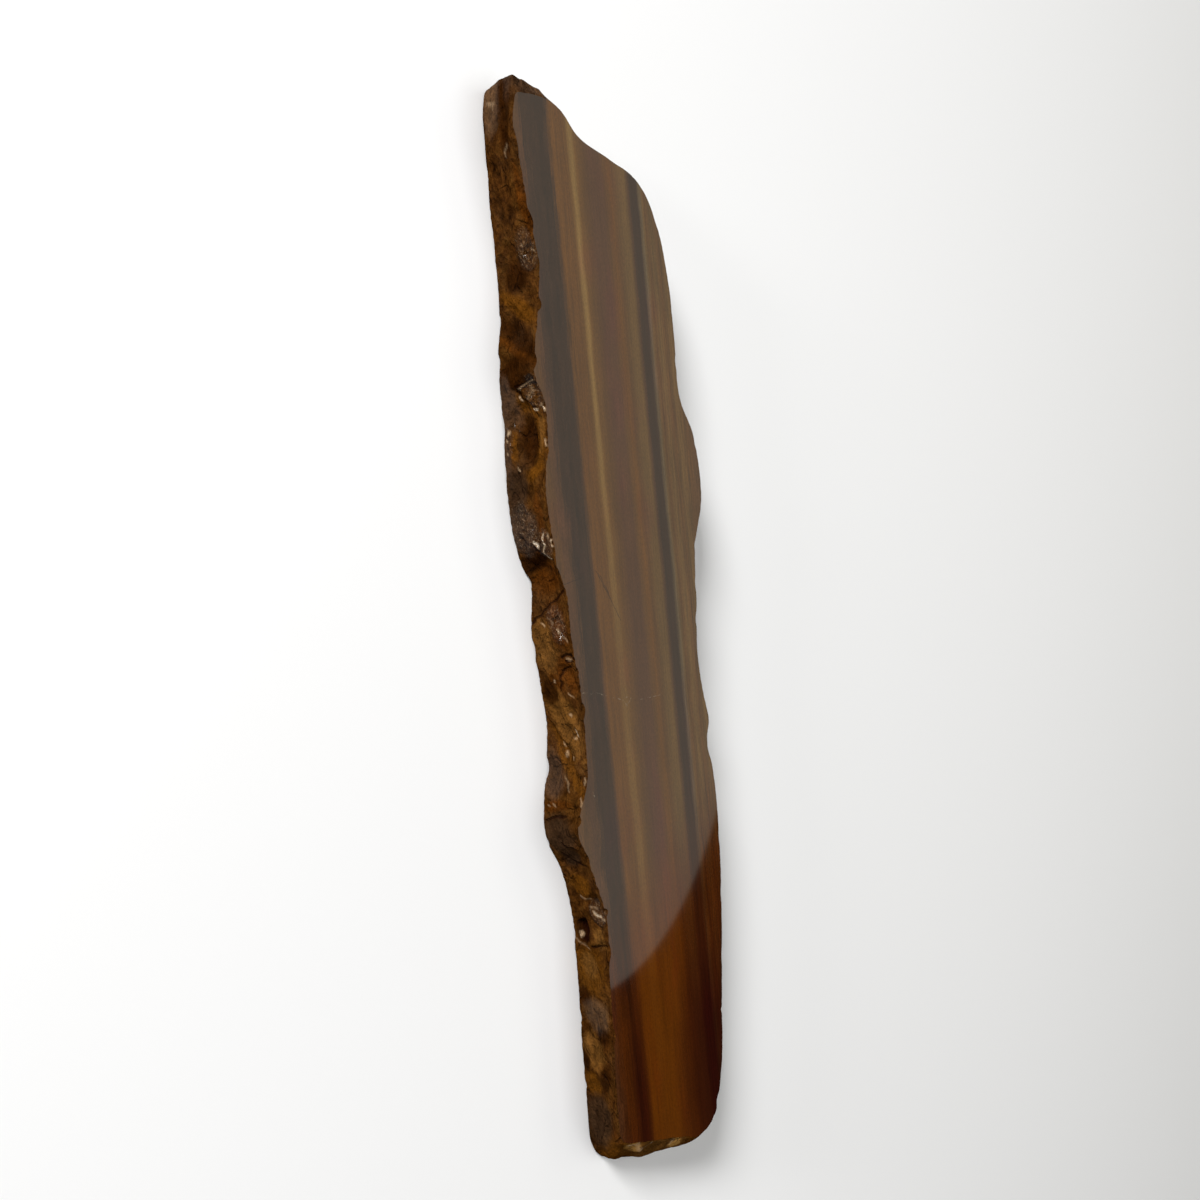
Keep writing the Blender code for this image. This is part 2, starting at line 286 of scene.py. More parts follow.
# Dark cracks on the left edge: (y, height, y, height, half width).
EDGE_CRACKS = [
    (19, 15.5, 17.5, 11.5, 0.54),
    (17.5, 11.5, 15, 7, 0.57),
    (15, 7, 13, 4.5, 0.57),
    (13, 4.5, 9.5, 0.5, 0.52),
    (74.5, 15.5, 73, 7, 0.49),
    (73.5, 16, 72, 6.5, 0.43),
    (71.5, 7, 69, 9.5, 0.42),
    (69, 9.5, 67.5, 12.5, 0.42),
    (33.5, 3.5, 31, 8.5, 0.52),
    (31, 8.5, 28.5, 12, 0.52),
    (28.5, 12, 27.5, 15, 0.48),
    (0.5, 11.5, 1.5, 13, 0.48),
    (1.5, 13, 1, 15.8, 0.49),
    (0, 12.5, 0, 15.5, 0.42),
    (-1.5, 14, -3, 10, 0.48),
    (-3, 10, -8.5, 8, 0.48),
    (-43.5, 1.5, -41.5, 10, 0.43),
    (-50, 6, -51, 12.5, 0.42),
    (-53, 4, -56.5, 6.5, 0.42),
    (-56.5, 6.5, -57, 12.5, 0.4),
    # This wide one is painted shade filling the small deep pocket.
    (-76.5, 4, -79, 5.5, 2.4),
    (-81, 8.5, -79.5, 15, 0.45),
]
# Painted glints on the left edge, in the same way, with how bright each one is: bright lips and specks in
# a pale colour that is also metallic, so partly painted highlight and partly real reflection.
EDGE_GLINTS = [
    (150, 2, 147, 3.5, 0.6, 0.16),
    (148.5, 4, 144.5, 6.5, 0.64, 0.18),
    (144.5, 5.5, 142, 5, 0.52, 0.14),
    (133.5, 11.5, 131, 10.5, 0.5, 0.18),
    (107.5, 14, 106.5, 15.5, 0.45, 0.35),
    (109, 11, 108.5, 11.5, 0.45, 0.35),
    (72.5, 8, 74, 13.5, 0.39, 0.4),
    (72.5, 7.5, 72, 8, 0.49, 0.8),
    (72, 12.5, 70, 11, 0.75, 0.25),
    (67, 12, 66.5, 13, 0.49, 1),
    (67, 15, 66.5, 15.5, 0.46, 0.7),
    (67.5, 14, 68, 15.5, 0.43, 0.35),
    (70, 7, 69.5, 7.5, 0.45, 0.6),
    (62, 2, 61, 2, 0.43, 0.5),
    (59.5, 1.5, 59, 1.5, 0.45, 0.5),
    (56, 1.5, 55.5, 1.5, 0.43, 0.4),
    (52, 5.5, 51.5, 6, 0.43, 0.45),
    (58.5, 15.5, 57.5, 15.5, 0.42, 0.45),
    (32.5, 8.5, 31, 10, 0.52, 0.95),
    (35, 12.5, 31, 12, 0.37, 0.8),
    (31, 12, 28.5, 12, 0.37, 0.6),
    (28.5, 12, 28, 14, 0.37, 0.6),
    (33, 15.5, 32.5, 15.5, 0.48, 0.8),
    (31.5, 15.5, 31, 15.5, 0.43, 0.6),
    (34, 14, 33.5, 14, 0.68, 0.3),
    (12, 11.5, 10, 13.5, 0.48, 0.35),
    (8, 10.5, 7.5, 11.5, 0.42, 0.6),
    (6.5, 12, 5.5, 14, 0.43, 0.35),
    (9.5, 3.5, 8.5, 4.5, 0.43, 0.35),
    (11.5, 5.5, 9.5, 8, 0.43, 0.2),
    (0.5, 13, 0.5, 14.5, 0.36, 0.3),
    (-6, 6, -6.5, 6, 0.42, 0.5),
    (-9, 11.5, -10, 13, 0.45, 0.3),
    (-15.5, 10.5, -16, 10.5, 0.52, 0.4),
    (-20, 11.5, -21, 12.5, 0.46, 0.75),
    (-22, 11, -22, 12, 0.43, 0.45),
    (-24.5, 5.5, -25, 6, 0.43, 0.4),
    (-26.5, 7, -27, 7.5, 0.43, 0.4),
    (-27, 10.5, -27.5, 10.5, 0.43, 0.4),
    (-31.5, 15, -33.5, 15.5, 0.48, 0.3),
    (-31.5, 7.5, -35.5, 10, 0.45, 0.18),
    (-37, 15, -38.5, 16, 0.52, 0.3),
    (-40, 2, -40, 2.5, 0.42, 0.3),
    (-39.5, 5, -39.5, 5.5, 0.42, 0.3),
    (-67, 5.5, -67.5, 9, 0.45, 0.25),
    (-71, 10, -71.5, 11.5, 0.43, 0.6),
    (-71.5, 11.5, -71.5, 13.5, 0.49, 0.9),
    (-72.5, 13.5, -72, 15.5, 0.4, 0.5),
    (-69.5, 9, -70, 11.5, 0.56, 0.25),
    (-78.5, 2.5, -79.5, 3.5, 0.4, 0.45),
    (-80.5, 0.5, -82, 7, 0.4, 0.18),
    (-136.5, 14.5, -137.5, 15.5, 0.6, 0.4),
    (-137.5, 15, -138.5, 14, 0.9, 0.35),
    (-139, 14.5, -139.5, 15.5, 0.5, 0.35),
    (-142.5, 15, -143.5, 15.5, 0.6, 0.35),
]
RING = (58.8, 8.5, 10.2, 5.9, 8, 0.16)  # gold ring round the oval hollow, and its width
PATCH_SEED = 23
PATCH_SPACING = 5.2
PATCH_SHARE = 0.62  # how strong the scattered patches are
SCATTERED = ("gold", "pale", "rust", "grey", "slate", "dark", "crumbly")
KINDS = (*SCATTERED, "painted_gold_glint")

# Colours of the stone, from its darkest layer to the silkiest
INK = (0.008, 0.0018, 0.0010)
DARK = (0.026, 0.011, 0.005)
UMBER = (0.052, 0.021, 0.007)
MAUVE = (0.066, 0.026, 0.0095)
BROWN = (0.078, 0.032, 0.007)
OLIVE = (0.096, 0.048, 0.012)
AMBER = (0.098, 0.037, 0.005)
HONEY = (0.112, 0.048, 0.008)
GOLD = (0.195, 0.105, 0.026)
DEEP_GOLD = (0.114, 0.0295, 0.0008)
DEEP_BROWN = (0.055, 0.0120, 0.0007)
DEEP_RED = (0.020, 0.0016, 0.0004)
STRAW = (0.088, 0.055, 0.024)

# The layers, across the slab: (place, colour). Between two places the colour blends.
LAYERS = [
    (-34.0, UMBER),
    (-28.0, BROWN),
    (-25.6, MAUVE),
    (-23.2, UMBER),
    (-21.6, DARK),
    (-17.0, DARK),
    (-15.8, UMBER),
    (-14.9, AMBER),
    (-10.8, AMBER),
    (-9.7, HONEY),
    (-8.7, GOLD),
    (-8.0, GOLD),
    (-7.0, HONEY),
    (-4.6, BROWN),
    (-2.0, MAUVE),
    (1.8, MAUVE),
    (3.2, BROWN),
    (5.0, AMBER),
    (6.6, BROWN),
    (8.8, OLIVE),
    (10.9, OLIVE),
    (12.2, UMBER),
    (13.2, DARK),
    (15.5, DARK),
    (16.7, STRAW),
    (17.6, OLIVE),
    (18.4, BROWN),
    (20.4, OLIVE),
    (22.6, BROWN),
    (24.8, OLIVE),
    (28.0, BROWN),
    (34.0, UMBER),
]


# ---------------------------------------------------------------- outline and scars
def closed_curve(stations, per_span=48):
    """A smooth closed curve through the stations, which it interpolates column by column."""
    p = np.array(stations, float)
    chord = np.linalg.norm((np.roll(p, -1, 0) - p)[:, :2], axis=1)[:, None]
    slope = (np.roll(p, -1, 0) - p) / chord
    before, chord_before = np.roll(slope, 1, 0), np.roll(chord, 1, 0)
    tangent = (slope * chord_before + before * chord) / (chord + chord_before)
    t = np.linspace(0, 1, per_span, endpoint=False)[None, :, None]
    start, end = p[:, None], np.roll(p, -1, 0)[:, None]
    leave = (tangent * chord)[:, None]
    arrive = (np.roll(tangent, -1, 0) * chord)[:, None]
    curve = (
        (2 * t**3 - 3 * t**2 + 1) * start
        + (t**3 - 2 * t**2 + t) * leave
        + (3 * t**2 - 2 * t**3) * end
        + (t**3 - t**2) * arrive
    )
    return curve.reshape(-1, p.shape[1])


class Edge:
    """The broken edge, unrolled: columns along the outline, heights up it."""

    def __init__(self):
        rows = LEFT_EDGE + LOWER_END + RIGHT_EDGE + POINTED_END
        curve = closed_curve([s + (0.0,) * (6 - len(s)) for s in rows])
        self.loop = np.vstack([curve, curve[:1]])
        lengths = np.linalg.norm(np.diff(self.loop[:, :2], axis=0), axis=1)
        self.along = np.concatenate([[0], np.cumsum(lengths)])
        self.perimeter = self.along[-1]
        down = int(np.argmin(curve[: len(curve) // 2, 1]))
        self.left_places = (-curve[:down, 1], self.along[:down])
        self.left_end = self.left_place(LEFT_EDGE[-1][1])
        at_start = self.along < self.left_end + FINE_PAST_ENDS
        at_finish = self.along > self.perimeter - FINE_PAST_ENDS
        step = np.where(at_start | at_finish, FINE_STEP, COARSE_STEP)[1:]
        tally = np.concatenate([[0], np.cumsum(lengths / step)])
        self.count = round(tally[-1])
        self.place = np.interp(np.arange(self.count) * tally[-1] / self.count, tally, self.along)
        columns = self.at(self.place)
        self.front, self.back = columns[:, :2], columns[:, 2:4]
        self.belly, self.step = columns[:, 4], columns[:, 5]
        run = (self.at(self.place + NORMAL_REACH) - self.at(self.place - NORMAL_REACH))[:, :2]
        normal = np.stack([run[:, 1], -run[:, 0]], 1)
        self.normal = normal / np.linalg.norm(normal, axis=1)[:, None]

    def at(self, place):
        """The outline's numbers at these distances along it."""
        place = np.mod(place, self.perimeter)
        return np.stack([np.interp(place, self.along, column) for column in self.loop.T], 1)

    def near(self, x, y):
        """How far along the outline the polished face's rim is nearest to this place."""
        gap = (self.front[:, 0] - x) ** 2 + (self.front[:, 1] - y) ** 2
        return float(self.place[int(np.argmin(gap))])

    def left_place(self, y):
        """How far along the outline the left edge reaches this y."""
        return float(np.interp(-y, *self.left_places))

    def worn(self, first, share, blend=5.0):
        """1 along most of the outline, and this share from the first station to the last."""
        start = self.near(*first[:2])
        middle, half = (start + self.perimeter) / 2, (self.perimeter - start) / 2
        past = abs(self.apart(self.place, middle)) - half
        return share + (1 - share) * np.clip(past / blend, 0, 1)

    def apart(self, place, centre):
        """Distance along the outline from the centre, the short way round."""
        half = self.perimeter / 2
        return (place - centre + half) % self.perimeter - half


def chip_scars(edge):
    """Every scar as (distance along the edge, height, half length, half height, tilt, depth)."""
    scars = [(edge.left_place(y), *rest) for y, *rest in LEFT_SCARS]
    rng = random.Random(SCAR_SEED)
    for band_height in (0.28, 0.74):
        place = 0.0
        while place < edge.perimeter:
            share = LEFT_SHARE if place < edge.left_end else 1.0
            depth = rng.uniform(*SCAR_DEPTH) * share
            height = THICKNESS * (band_height + rng.uniform(-0.16, 0.16))
            half_length = rng.uniform(*SCAR_HALF_LENGTH)
            half_height = rng.uniform(*SCAR_HALF_HEIGHT)
            scars.append((place, height, half_length, half_height, rng.uniform(-50, 50), depth))
            place += SCAR_SPACING * rng.uniform(0.6, 1.4)
    return scars


def tilted(edge, place, height, spot):
    """Position inside a tilted oval spot, where its outline is at distance 1."""
    centre, middle, half_length, half_height, tilt = spot
    along = edge.apart(place, centre)
    up = height - middle
    c, s = math.cos(math.radians(tilt)), math.sin(math.radians(tilt))
    return (along * c + up * s) / half_length, (up * c - along * s) / half_height


def chipped_depth(edge, place, height, scars):
    """How far the stone is chipped away, with faint rings round each scar's deepest place."""
    turn = place * 2 * math.pi / edge.perimeter
    here = place + WANDER[0] * np.sin(41 * turn + 0.4 * height)
    level = height + WANDER[1] * np.sin(53 * turn - 0.3 * height)
    depth = np.zeros(np.broadcast(place, height).shape)
    rings = np.zeros(depth.shape)
    ring_height, ring_spacing = RIPPLE
    for number, (*spot, most) in enumerate(scars):
        a, b = tilted(edge, here, level, spot)
        a = a + LEAN * (1 - np.minimum(a * a, 1))
        q = a * a + b * b
        bowl = most * (1 - q)
        deeper = bowl > depth
        size = 2 * math.pi * min(spot[2], spot[3]) / ring_spacing
        ripple = ring_height * np.sin(np.sqrt(q) * size + number) * np.clip(q * 3, 0, 1)
        depth = np.where(deeper, bowl, depth)
        rings = np.where(deeper, ripple, rings)
    return depth + rings


def fade(height):
    """Share of a scar's depth that is used at this height."""
    top = np.clip((THICKNESS - height) / FRONT_FADE, 0, 1)
    bottom = np.clip(BACK_SHARE + (1 - BACK_SHARE) * height / BACK_FADE, 0, 1)
    return top * top * (3 - 2 * top) * bottom


def rim_nicks(edge, seed, small, large):
    """How far a rim is nibbled back at each column: many small nicks and a few large ones."""
    rng = random.Random(seed)
    nick = np.full(edge.count, 0.12)
    for spacing, (low, high), size in ((1.8, small, 1.3), (21.0, large, 2.6)):
        place = 0.0
        while place < edge.perimeter:
            half = size * rng.uniform(0.5, 1.6)
            reach = rng.uniform(low, high)
            gap = edge.apart(edge.place, place) / half
            nick = np.maximum(nick, reach * (1 - gap * gap))
            place += spacing * rng.uniform(0.4, 1.6)
    return nick


# ---------------------------------------------------------------- colour patches
def patch_masks(edge, place, height):
    """A soft mask for each kind of patch, for every point of the edge."""
    masks = {kind: np.zeros(np.broadcast(place, height).shape) for kind in KINDS}
    spots = [(kind, (edge.left_place(y), *rest)) for kind, y, *rest in PATCHES]
    spots += [(kind, (edge.near(x, y), *rest)) for kind, x, y, *rest in END_PATCHES]
    first, last = edge.near(*RIGHT_EDGE[0][:2]), edge.near(*RIGHT_EDGE[-1][:2])
    rng = random.Random(PATCH_SEED)
    for band_height in (0.25, 0.72):
        at = first
        while at < last:
            middle = THICKNESS * (band_height + rng.uniform(-0.15, 0.15))
            sizes = rng.uniform(2.4, 7.5), rng.uniform(1.8, 5.0)
            kind = rng.choice(SCATTERED)
            spots.append((kind, (at, middle, *sizes, rng.uniform(-60, 60)), PATCH_SHARE))
            at += PATCH_SPACING * rng.uniform(0.5, 1.5)
    for kind, spot, *share in spots:
        a, b = tilted(edge, place, height, spot)
        inside = np.clip(1.5 - np.sqrt(a * a + b * b), 0, 1) * (share[0] if share else 1)
        masks[kind] = np.maximum(masks[kind], inside)
    y, *rest, width = RING
    a, b = tilted(edge, place, height, (edge.left_place(y), *rest))
    ring = np.clip(1.5 - abs(np.sqrt(a * a + b * b) - 0.92) / width, 0, 1)
    masks["gold"] = np.maximum(masks["gold"], ring)
    return masks


def line_mask(edge, place, height, lines):
    """A soft mask of slightly wavering lines, for every point of the edge."""
    turn = place * 2 * math.pi / edge.perimeter
    here = place + 0.25 * np.sin(161 * turn + 0.9 * height)
    level = height + 0.25 * np.sin(197 * turn - 0.7 * height)
    mask = np.zeros(level.shape)
    for start, low, end, high, half_width, *strength in lines:
        start, end = edge.left_place(start), edge.left_place(end)
        along, up = end - start, high - low
        share = ((here - start) * along + (level - low) * up) / max(along * along + up * up, 0.01)
        share = np.clip(share, 0, 1)
        gap = np.hypot(here - start - share * along, level - low - share * up)
        line = np.clip(1.6 - 1.6 * gap / half_width, 0, 1)
        mask = np.maximum(mask, (strength[0] if strength else 1) * line)
    return mask


# ---------------------------------------------------------------- the slab's mesh
def slab_rings(edge):
    """Rings of points round the slab from the back face up, and what each point carries."""
    scars = chip_scars(edge)
    upper = rim_nicks(edge, NICK_SEED, (0.12, 0.42), (0.5, 1.25)) * edge.worn(RIGHT_EDGE[0], WORN_RIM)
    lower = rim_nicks(edge, NICK_SEED + 1, (0.12, 0.5), (0.5, 1.4))
    worn_scars = edge.worn(POINTED_END[-6], TIP_SHARE, 8.0)
    shoulder = THICKNESS - BREAK_HEIGHT
    low, high = 0.7 * lower, THICKNESS - 0.8 * upper

    def wall(height):
        level = height / THICKNESS
        bulge = edge.belly * (1 - abs(2 * level - 1) ** BELLY_POWER)
        out = bulge - chipped_depth(edge, edge.place, height, scars) * fade(height) * worn_scars
        flat = edge.back * (1 - level)[:, None] + edge.front * level[:, None]
        flat = flat + edge.normal * out[:, None]
        reach = np.minimum(height, (THICKNESS - height) * shoulder / BREAK_HEIGHT)
        flat[:, 1] += edge.step * reach / shoulder
        return np.column_stack([flat, height])

    def nicked(ring, end_height, reach, t):
        """A row of the scooped nick between the edge's last row and the rim."""
        inward = reach * (1 - (1 - t) ** 1.6)
        height = end_height + (ring[:, 2] - end_height) * (1 - t) ** 0.6
        flat = ring[:, :2] - edge.normal * inward[:, None]
        return np.column_stack([flat, height])

    rows, roughness = [], []
    bottom, top = wall(low), wall(high)
    for step in range(NICK_ROWS, 0, -1):
        rows.append(nicked(bottom, 0.0, lower, np.full(edge.count, step / NICK_ROWS)))
        roughness.append(0.0)
    for step in range(LEVELS + 1):
        t = step / LEVELS
        rows.append(wall(low + (high - low) * t))
        roughness.append(min(1.0, 6 * t, 6 * (1 - t)))
    for step in range(1, NICK_ROWS + 1):
        rows.append(nicked(top, THICKNESS, upper, np.full(edge.count, step / NICK_ROWS)))
        roughness.append(0.0)
    rings = np.array(rows)
    rings[:, :, :2] -= MIDDLE
    where = edge, edge.place[None, :], rings[:, :, 2]
    carried = patch_masks(*where)
    carried["crack"] = line_mask(*where, EDGE_CRACKS)
    # Where glints are painted on the left edge
    carried["lip"] = line_mask(*where, EDGE_GLINTS)
    carried["rough"] = np.array(roughness)[:, None] * edge.worn(POINTED_END[0], WORN_TIP)[None, :]
    return rings * MM, carried


def slab_mesh():
    """The whole slab as one closed mesh: the edge's quads, then its two flat faces."""
    edge = Edge()
    rings, carried = slab_rings(edge)
    rows, count = rings.shape[:2]
    number = np.arange(rows * count).reshape(rows, count)
    beside = np.roll(number, -1, 1)
    quads = np.stack([number[:-1], beside[:-1], beside[1:], number[1:]], -1).reshape(-1, 4)
    faces = quads.tolist() + [number[-1].tolist(), number[0][::-1].tolist()]
    mesh = bpy.data.meshes.new("slab")
    mesh.from_pydata(rings.reshape(-1, 3).tolist(), [], faces)
    for name, values in carried.items():
        layer = mesh.attributes.new(name, "FLOAT", "POINT")
        layer.data.foreach_set("value", values.reshape(-1).astype(np.float32))
    finish = mesh.attributes.new("finish", "INT", "FACE")
    finish.data.foreach_set("value", np.array([1] * len(quads) + [0, 2], np.int32))
    mesh.update()
    return mesh


# ---------------------------------------------------------------- node helpers
class Nodes:
    """Adds nodes to a tree. A value may be a number, a colour, a vector or another socket."""

    def __init__(self, tree):
        self.tree = tree

    def put(self, socket, value):
        if isinstance(value, bpy.types.NodeSocket):
            self.tree.links.new(value, socket)
        elif value is not None:
            socket.default_value = value

    def add(self, kind, inputs=(), **settings):
        node = self.tree.nodes.new(kind)
        for key, value in settings.items():
            setattr(node, key, value)
        for key, value in dict(inputs).items():
            self.put(node.inputs[key], value)
        return node

    def math(self, operation, a, b=None, c=None, clamp=False):
        values = {i: v for i, v in enumerate((a, b, c)) if v is not None}
        node = self.add("ShaderNodeMath", values, operation=operation, use_clamp=clamp)
        return node.outputs[0]

    def vector(self, operation, a, b=None, out=0, scale=None):
        values = {i: v for i, v in enumerate((a, b)) if v is not None}
        if scale is not None:
            values["Scale"] = scale
        return self.add("ShaderNodeVectorMath", values, operation=operation).outputs[out]

    def times(self, a, b):
        return self.math("MULTIPLY", a, b)

    def plus(self, a, b):
        return self.math("ADD", a, b)

    def minus(self, a, b):
        return self.math("SUBTRACT", a, b)

    def times_plus(self, a, b, c):
        return self.math("MULTIPLY_ADD", a, b, c)

    def scaled(self, a, scale):
        return self.vector("SCALE", a, scale=scale)

    def stretched(self, a, b):
        return self.vector("MULTIPLY", a, b)

    def mix(self, amount, a, b):
        node = self.add("ShaderNodeMix", data_type="RGBA")
        self.put(node.inputs[0], amount)
        self.put(node.inputs[6], a if not isinstance(a, tuple) else (*a, 1.0))
        self.put(node.inputs[7], b if not isinstance(b, tuple) else (*b, 1.0))
        return node.outputs[2]

    def spread(self, value, low, high, to_low=0.0, to_high=1.0, smooth=True):
        kind = "SMOOTHSTEP" if smooth else "LINEAR"
        inputs = {0: value, 1: low, 2: high, 3: to_low, 4: to_high}
        return self.add("ShaderNodeMapRange", inputs, interpolation_type=kind).outputs[0]

    def noise(self, vector, scale, detail=2.0, roughness=0.5, out=0):
        inputs = {"Vector": vector, "Scale": scale, "Detail": detail, "Roughness": roughness}
        return self.add("ShaderNodeTexNoise", inputs).outputs[out]

    def cells(self, vector, feature="F1"):
        inputs = {"Vector": vector, "Scale": 1.0}
        return self.add("ShaderNodeTexVoronoi", inputs, feature=feature).outputs["Distance"]

    def parts(self, vector):
        return self.add("ShaderNodeSeparateXYZ", {0: vector}).outputs

    def join(self, x, y, z):
        return self.add("ShaderNodeCombineXYZ", {0: x, 1: y, 2: z}).outputs[0]

    def ramp(self, amount, stops):
        node = self.add("ShaderNodeValToRGB", {0: amount})
        points = node.color_ramp.elements
        while len(points) < len(stops):
            points.new(0.5)
        for point, (place, colour) in zip(points, stops):
            point.position = place
            point.color = (*colour, 1.0)
        return node.outputs[0]

    def attribute(self, name):
        return self.add("ShaderNodeAttribute", attribute_name=name).outputs["Fac"]

    def group(self, group, inputs=()):
        node = self.tree.nodes.new(self.tree.bl_idname.replace("Tree", "Group"))
        node.node_tree = group
        for key, value in dict(inputs).items():
            self.put(node.inputs[key], value)
        return node.outputs


SOCKETS = {"float": "NodeSocketFloat", "vector": "NodeSocketVector", "colour": "NodeSocketColor",
           "geometry": "NodeSocketGeometry", "material": "NodeSocketMaterial"}


def new_group(name, kind, inputs, outputs):
    """An empty node group with its named inputs and outputs, and a helper to fill it."""
    group = bpy.data.node_groups.new(name, kind)
    for label, socket, *default in inputs:
        made = group.interface.new_socket(label, in_out="INPUT", socket_type=SOCKETS[socket])
        if default:
            made.default_value = default[0]
    for label, socket in outputs:
        group.interface.new_socket(label, in_out="OUTPUT", socket_type=SOCKETS[socket])
    nodes = Nodes(group)
    start = nodes.add("NodeGroupInput").outputs
    end = nodes.add("NodeGroupOutput")
    return group, nodes, start, end.inputs


# ---------------------------------------------------------------- the break's grain
def break_grain_tree():
    """Geometry nodes: chips the broken edge with sharp-ridged flakes and sets the finishes."""
    inputs = [
        ("Geometry", "geometry"),
        ("Swell", "float", 0.2),
        ("Swell Size", "float", 5.0),
        ("Flake Depth", "float", 0.4),
        ("Flake Size", "float", 3.0),
        ("Crumb Depth", "float", 0.5),
        ("Crumb Size", "float", 1.5),
        ("Seed", "float", 3.0),
        ("Polished", "material"),
        ("Broken", "material"),
        ("Sawn", "material"),
    ]
    outputs = [("Geometry", "geometry")]
    tree, nodes, given, result = new_group("break grain", "GeometryNodeTree", inputs, outputs)
    position = nodes.add("GeometryNodeInputPosition").outputs[0]
    normal = nodes.add("GeometryNodeInputNormal").outputs[0]
    place = nodes.scaled(position, scale=1000.0)

    def named(name, kind="FLOAT"):
        node = nodes.add("GeometryNodeInputNamedAttribute", {"Name": name}, data_type=kind)
        return node.outputs[0]

    def swelling(size, detail, out=0):
        inputs = {"Vector": place, "W": given["Seed"], "Detail": detail}
        inputs["Scale"] = nodes.math("DIVIDE", 1.0, size)
        return nodes.add("ShaderNodeTexNoise", inputs, noise_dimensions="4D").outputs[out]

    def bowls(size, stretch):
        """Bowls with sharp ridges between them, from 0 in a bowl to about 1 on a ridge."""
        bent = nodes.scaled(swelling(nodes.times(size, 1.6), 2.0, 1), scale=nodes.times(size, 1.5))
        where = nodes.stretched(nodes.vector("ADD", place, bent), stretch)
        inputs = {"Vector": where, "W": given["Seed"], "Scale": nodes.math("DIVIDE", 1.0, size)}
        return nodes.add("ShaderNodeTexVoronoi", inputs, voronoi_dimensions="4D").outputs["Distance"]

    swell = nodes.times(nodes.times_plus(swelling(given["Swell Size"], 3.0), 2.0, -1.0), given["Swell"])
    flakes = nodes.minus(bowls(given["Flake Size"], (1.0, 0.6, 1.1)), 0.55)
    crumbs = nodes.minus(bowls(given["Crumb Size"], (1.0, 0.8, 1.2)), 0.55)
    smooth = nodes.minus(1.0, nodes.times(named("gold"), 0.45))
    flaked = nodes.times(nodes.times(flakes, given["Flake Depth"]), smooth)
    share = nodes.times_plus(named("crumbly"), 0.85, 0.15)
    crumbled = nodes.times(nodes.times(crumbs, given["Crumb Depth"]), share)
    height = nodes.plus(nodes.plus(swell, flaked), crumbled)
    offset = nodes.scaled(normal, scale=nodes.times(height, nodes.times(named("rough"), MM)))
    # The flakes' relief is kept as ridge, which the broken finish uses for painted shade in their bowls
    # and painted light on their ridges.
    inputs = {"Geometry": given["Geometry"], "Name": "ridge", "Value": nodes.plus(flaked, crumbled)}
    marked = nodes.add("GeometryNodeStoreNamedAttribute", inputs, data_type="FLOAT", domain="POINT")
    inputs = {"Geometry": marked.outputs[0], "Offset": offset}
    moved = nodes.add("GeometryNodeSetPosition", inputs).outputs[0]
    shape = nodes.add("GeometryNodeRealizeInstances", {0: moved}).outputs[0]
    for code, label in enumerate(("Polished", "Broken", "Sawn")):
        here = nodes.add("FunctionNodeCompare", data_type="INT", operation="EQUAL")
        nodes.put(here.inputs[2], named("finish", "INT"))
        nodes.put(here.inputs[3], code)
        inputs = {"Geometry": shape, "Selection": here.outputs[0], "Material": given[label]}
        shape = nodes.add("GeometryNodeSetMaterial", inputs).outputs[0]
    nodes.put(result["Geometry"], shape)
    return tree


def apply_tree(obj, tree, values):
    """Runs a geometry node tree on the object and keeps the plain mesh that it gives."""
    modifier = obj.modifiers.new(tree.name, "NODES")
    modifier.node_group = tree
    for item in tree.interface.items_tree:
        if item.item_type == "SOCKET" and item.in_out == "INPUT" and item.name in values:
            modifier[item.identifier] = values[item.name]
    bpy.context.view_layer.update()
    seen = obj.evaluated_get(bpy.context.evaluated_depsgraph_get())
    made = bpy.data.meshes.new_from_object(seen)
    obj.modifiers.remove(modifier)
    obj.data = made
    return made


# ---------------------------------------------------------------- shared effects
LAYERS_REACH = 34.0
LAYERS_TURN = 0.0172  # how far the layers run sideways for each step along the slab
LAYERS_LEAN = 0.05  # and for each step through its thickness
SILK_MIDDLE = -8.35


